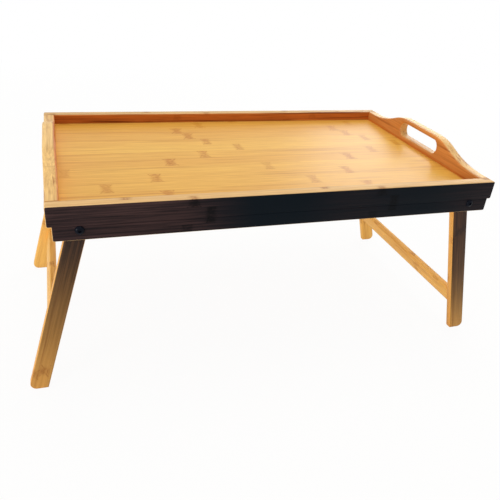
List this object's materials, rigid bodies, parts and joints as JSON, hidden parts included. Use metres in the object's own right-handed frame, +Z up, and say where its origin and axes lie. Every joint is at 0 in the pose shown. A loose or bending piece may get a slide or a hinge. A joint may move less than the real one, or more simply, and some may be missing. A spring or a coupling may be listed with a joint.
{
  "type": "bed tray table",
  "caption": "Shallow rectangular bamboo bed tray with a raised slotted handle at each end, standing on two splayed leg frames that fold up under it.",
  "frame": {"origin": "on the floor under the middle of the tray, legs open", "axes": "+X along the tray to the right, +Y to the rear, +Z up"},
  "size_m": [0.5696, 0.3052, 0.247],
  "materials": {
    "floor_bamboo": "clear satin lacquer over laminated bamboo",
    "frame_bamboo": "clear satin lacquer over laminated bamboo",
    "stained_bamboo": "laminated bamboo, outer face stained near black, edges clear",
    "leg_bamboo": "laminated bamboo, outer face stained and fading to clear at the foot",
    "dowel_bamboo": "bare",
    "black_steel": "black oxide, oiled",
    "zinc_steel": "bright zinc plating",
    "nylon": "natural nylon"
  },
  "bodies": {
    "tray": {"floor_panel": "floor_bamboo", "front_rail": "stained_bamboo", "rear_rail": "stained_bamboo", "left_side_panel": "frame_bamboo", "left_stop_batten": "frame_bamboo", "left_corner_dowels": "dowel_bamboo", "left_front_pivot_bolt": "black_steel", "left_front_spacer_washer": "nylon", "left_front_nut_washer": "zinc_steel", "left_front_pivot_nut": "zinc_steel", "left_rear_pivot_bolt": "black_steel", "left_rear_spacer_washer": "nylon", "left_rear_nut_washer": "zinc_steel", "left_rear_pivot_nut": "zinc_steel", "right_side_panel": "frame_bamboo", "right_stop_batten": "frame_bamboo", "right_corner_dowels": "dowel_bamboo", "right_front_pivot_bolt": "black_steel", "right_front_spacer_washer": "nylon", "right_front_nut_washer": "zinc_steel", "right_front_pivot_nut": "zinc_steel", "right_rear_pivot_bolt": "black_steel", "right_rear_spacer_washer": "nylon", "right_rear_nut_washer": "zinc_steel", "right_rear_pivot_nut": "zinc_steel"},
    "left_leg_frame": {"left_stretcher": "leg_bamboo", "left_front_leg": "leg_bamboo", "left_rear_leg": "leg_bamboo"},
    "right_leg_frame": {"right_stretcher": "leg_bamboo", "right_front_leg": "leg_bamboo", "right_rear_leg": "leg_bamboo"}
  },
  "joints": [
    {"name": "left_leg_fold", "type": "hinge", "parent": "tray", "child": "left_leg_frame", "pos_m": [-0.2205, 0, 0.2025], "axis": [0, -1, 0], "range_deg": [0, 105.5]},
    {"name": "right_leg_fold", "type": "hinge", "parent": "tray", "child": "right_leg_frame", "pos_m": [0.2205, 0, 0.2025], "axis": [0, 1, 0], "range_deg": [0, 105.5]}
  ]
}
